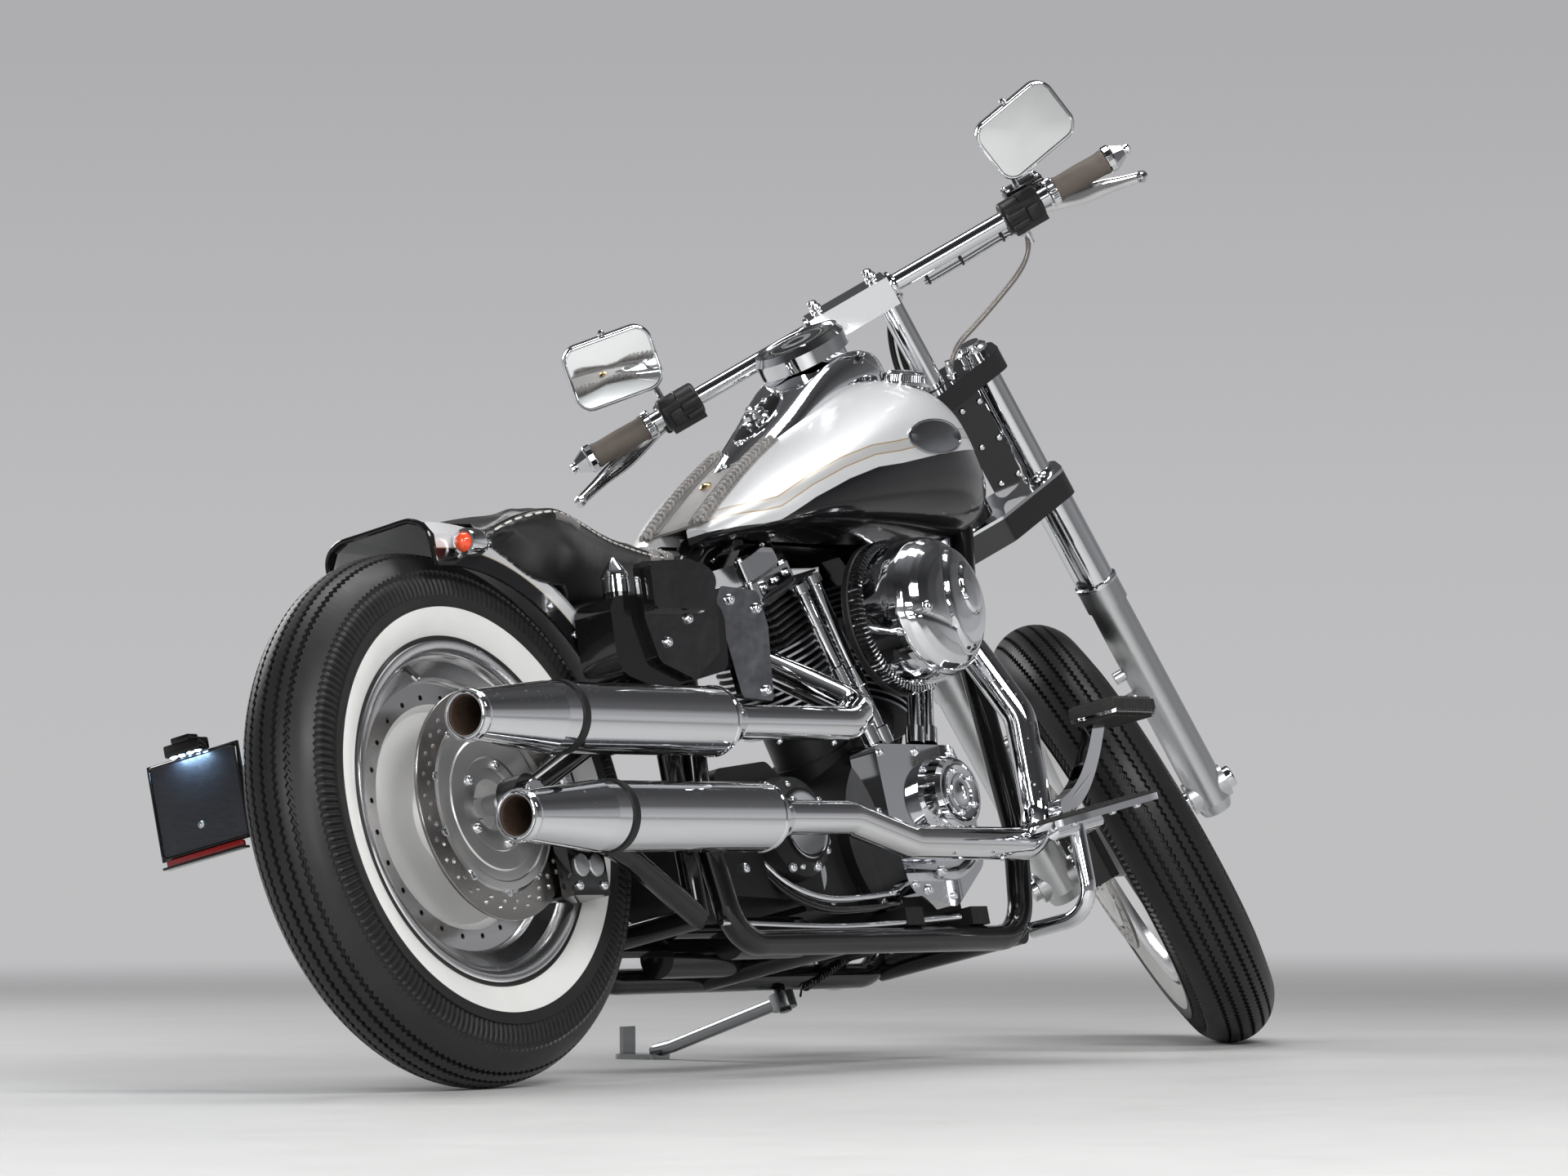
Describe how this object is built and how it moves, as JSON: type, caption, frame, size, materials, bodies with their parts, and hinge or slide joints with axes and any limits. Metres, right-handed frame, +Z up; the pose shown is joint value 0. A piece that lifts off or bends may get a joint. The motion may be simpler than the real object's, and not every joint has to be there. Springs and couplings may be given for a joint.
{
  "type": "chopper motorcycle",
  "caption": "Long, low two-wheeled cruiser with an upright V engine, solid disc wheels, straight bar and stacked mufflers, leaning on its side stand",
  "frame": {"origin": "on the floor, under the centre of the bounding box of the parked machine", "axes": "+X forward along the machine, +Y to its left, +Z up from the floor; the machine leans to its left on the side stand and its steering rests on the left stop"},
  "size_m": [2.2569, 0.8434, 1.3482],
  "materials": {
    "tyre": "matte",
    "wheel_alloy": "polished",
    "disc_steel": "brushed",
    "black_paint": "gloss",
    "engine_black": "satin",
    "chrome": "polished",
    "tank_paint": "gloss",
    "leather": "satin",
    "strap_leather": "satin",
    "satin_alloy": "satin",
    "grip_rubber": "matte",
    "black_plastic": "satin",
    "lamp_lens": "gloss",
    "belt_rubber": "matte"
  },
  "bodies": {
    "chassis": {"frame": "black_paint", "swingarm": "black_paint", "rear_axle": "chrome", "crankcase": "engine_black", "cylinders": "engine_black", "rocker_covers": "chrome", "cam_cover": "chrome", "pushrod_tubes": "chrome", "air_cleaner": "chrome", "transmission": "engine_black", "primary_cover": "chrome", "exhaust_pipes": "chrome", "mufflers": "chrome", "fuel_tank": "tank_paint", "dash_console": "chrome", "filler_caps": "chrome", "tank_strap": "strap_leather", "seat": "leather", "rear_fender": "tank_paint", "oil_tank": "black_paint", "side_cover": "black_paint", "plate_bracket": "black_paint", "rear_lamps": "lamp_lens", "rear_caliper": "black_paint", "shocks": "black_paint", "drive_belt": "belt_rubber", "footboards": "chrome", "foot_controls": "chrome"},
    "rear_wheel": {"rear_tyre": "tyre", "rear_wheel": "wheel_alloy", "rear_rotor": "disc_steel", "rear_pulley": "wheel_alloy"},
    "steering": {"fork_clamps": "chrome", "fork_tubes": "chrome", "fork_sliders": "satin_alloy", "fork_covers": "chrome", "fork_panels": "black_paint", "front_axle": "chrome", "headlight": "chrome", "handlebar": "chrome", "grips": "grip_rubber", "switch_housings": "black_plastic", "hand_levers": "black_paint", "mirrors": "black_paint", "front_caliper": "black_paint", "brake_line": "black_plastic"},
    "front_wheel": {"front_tyre": "tyre", "front_wheel": "wheel_alloy", "front_rotor": "disc_steel"},
    "side_stand": {"side_stand": "black_paint"}
  },
  "joints": [
    {"name": "rear_wheel_spin", "type": "hinge", "parent": "chassis", "child": "rear_wheel", "pos_m": [-0.78885, -0.09754, 0.32968], "axis": [-0.0021, 0.9751, -0.2215], "continuous": true},
    {"name": "steering_turn", "type": "hinge", "parent": "chassis", "child": "steering", "pos_m": [0.80532, -0.10384, 0.28697], "axis": [-0.5221, 0.1879, 0.8319], "range_deg": [-80, 0]},
    {"name": "front_wheel_spin", "type": "hinge", "parent": "steering", "child": "front_wheel", "pos_m": [0.8403, -0.06538, 0.30024], "axis": [-0.5498, 0.6715, -0.4967], "continuous": true},
    {"name": "side_stand_swing", "type": "hinge", "parent": "chassis", "child": "side_stand", "pos_m": [0.01687, -0.03695, 0.08324], "axis": [0.0088, 0.3551, 0.9348], "range_deg": [0, 92]}
  ]
}
